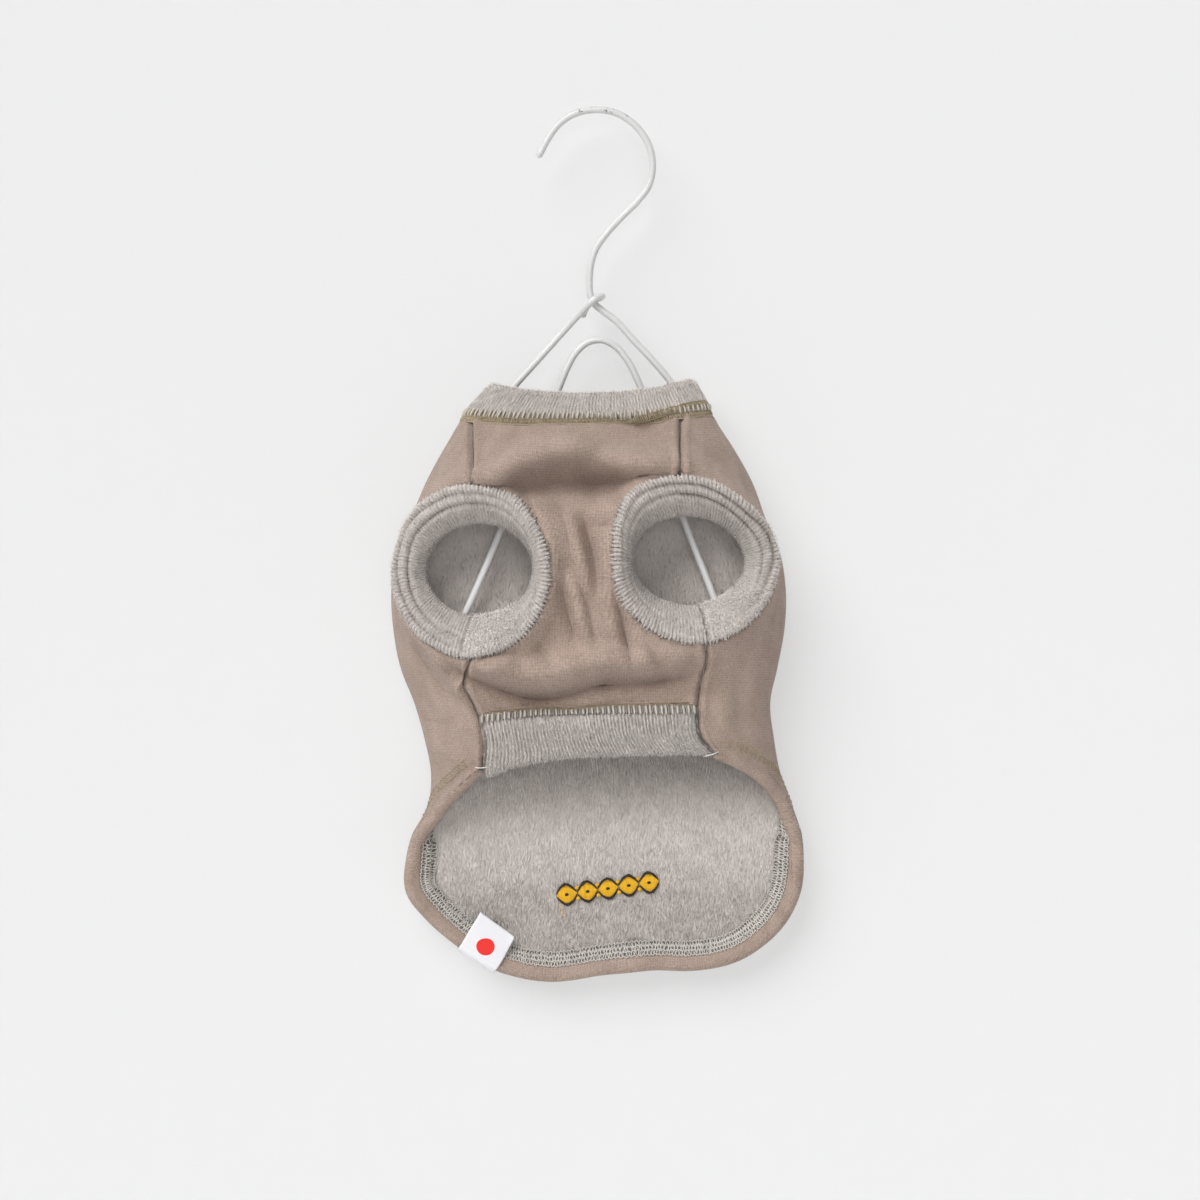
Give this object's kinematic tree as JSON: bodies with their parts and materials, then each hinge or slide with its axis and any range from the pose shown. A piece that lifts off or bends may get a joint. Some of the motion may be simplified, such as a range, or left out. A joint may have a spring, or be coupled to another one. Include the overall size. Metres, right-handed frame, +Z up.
{
  "type": "dog sweat vest on a wire hanger",
  "caption": "Small dog's pull-on sweat vest with fleece neckband, leg cuffs and belly band, hanging belly side forward on a bent wire hanger.",
  "frame": {"origin": "underside of the wire at the top of the hook, where the hanger hangs", "axes": "+Z up, -Y out of the belly side with the leg holes, +X to the right seen from that side"},
  "size_m": [0.1856, 0.0523, 0.3947],
  "materials": {
    "knit": "taupe brushed sweat knit, matt, bonded to a short grey fleece inside",
    "fleece": "warm grey short-pile fleece",
    "label": "white woven tape with a plain red disc",
    "wire": "white paint, worn to grey metal at the hook's top"
  },
  "bodies": {
    "root": {"back_panel": "knit", "chest_panel": "knit", "neckband": "fleece", "belly_band": "fleece", "cuff_left": "fleece", "cuff_right": "fleece", "hem_label": "label", "hanger_hook": "wire", "hanger_left_arm": "wire", "hanger_arch": "wire", "hanger_left_loop": "wire", "hanger_right_loop": "wire"}
  },
  "joints": []
}
